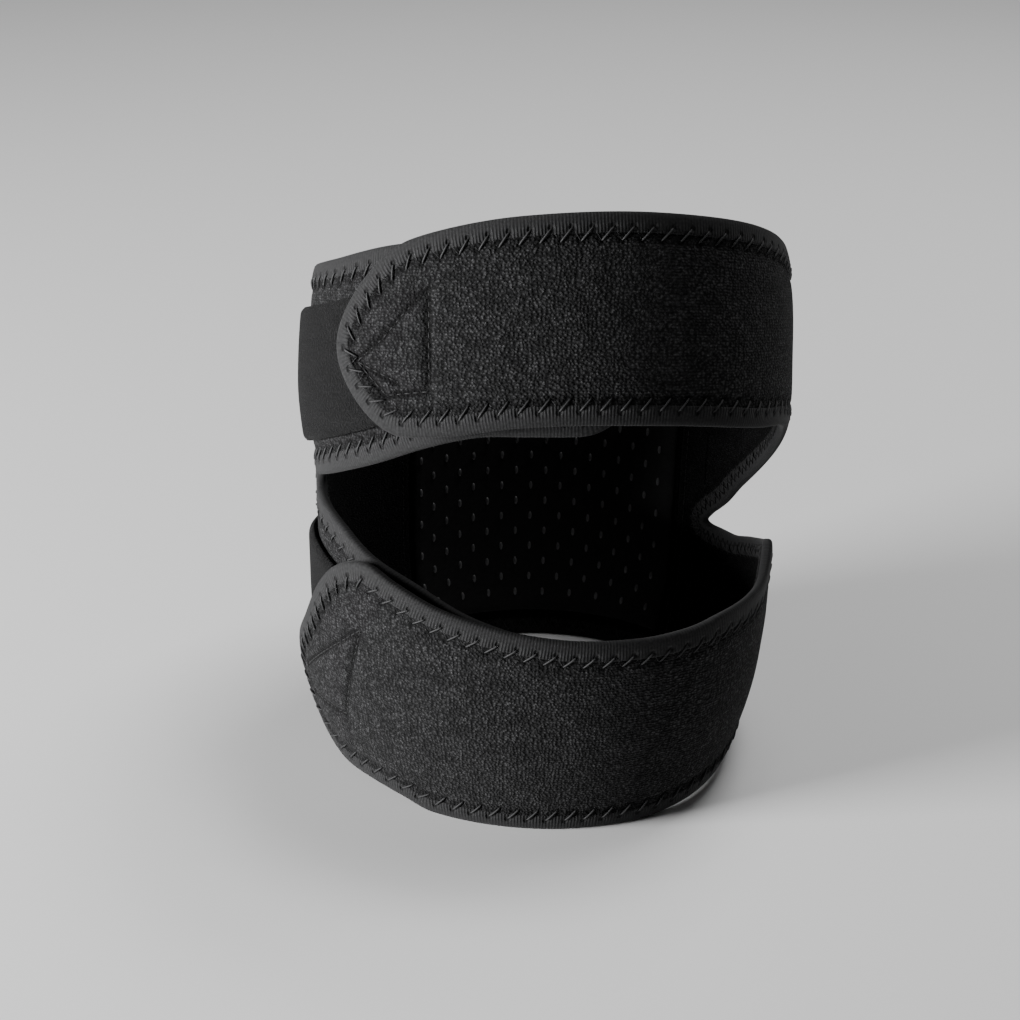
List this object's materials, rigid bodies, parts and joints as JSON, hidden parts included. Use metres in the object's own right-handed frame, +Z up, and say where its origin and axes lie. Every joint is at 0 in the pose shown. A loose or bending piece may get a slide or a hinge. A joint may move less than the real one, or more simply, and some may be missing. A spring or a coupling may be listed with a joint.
{
  "type": "patella strap",
  "caption": "Double-band knee strap: two hook-and-loop cloth bands joined by a gripping back panel, with a bound kneecap opening.",
  "frame": {"origin": "middle of the strap's outline seen from above, on the surface its lower rim stands on", "axes": "+Z up along the leg, -Y towards the front with the kneecap opening, +X to the right as seen from the front"},
  "size_m": [0.1308, 0.1344, 0.1572],
  "materials": {
    "knit": "black knitted cloth over thin foam",
    "loop": "brushed black loop cloth",
    "tape": "black ribbed elastic tape",
    "hook": "black moulded hooks",
    "grip": "black lining with small raised gripping dots"
  },
  "bodies": {
    "root": {"wing_panel": "knit", "back_panel": "knit", "strap_panel": "knit", "upper_loop_patch": "loop", "lower_loop_patch": "loop", "upper_hook_pad": "hook", "lower_hook_pad": "hook", "grip_pad": "grip", "upper_rim_binding": "tape", "lower_rim_binding": "tape", "left_notch_binding": "tape", "right_notch_binding": "tape"}
  },
  "joints": []
}
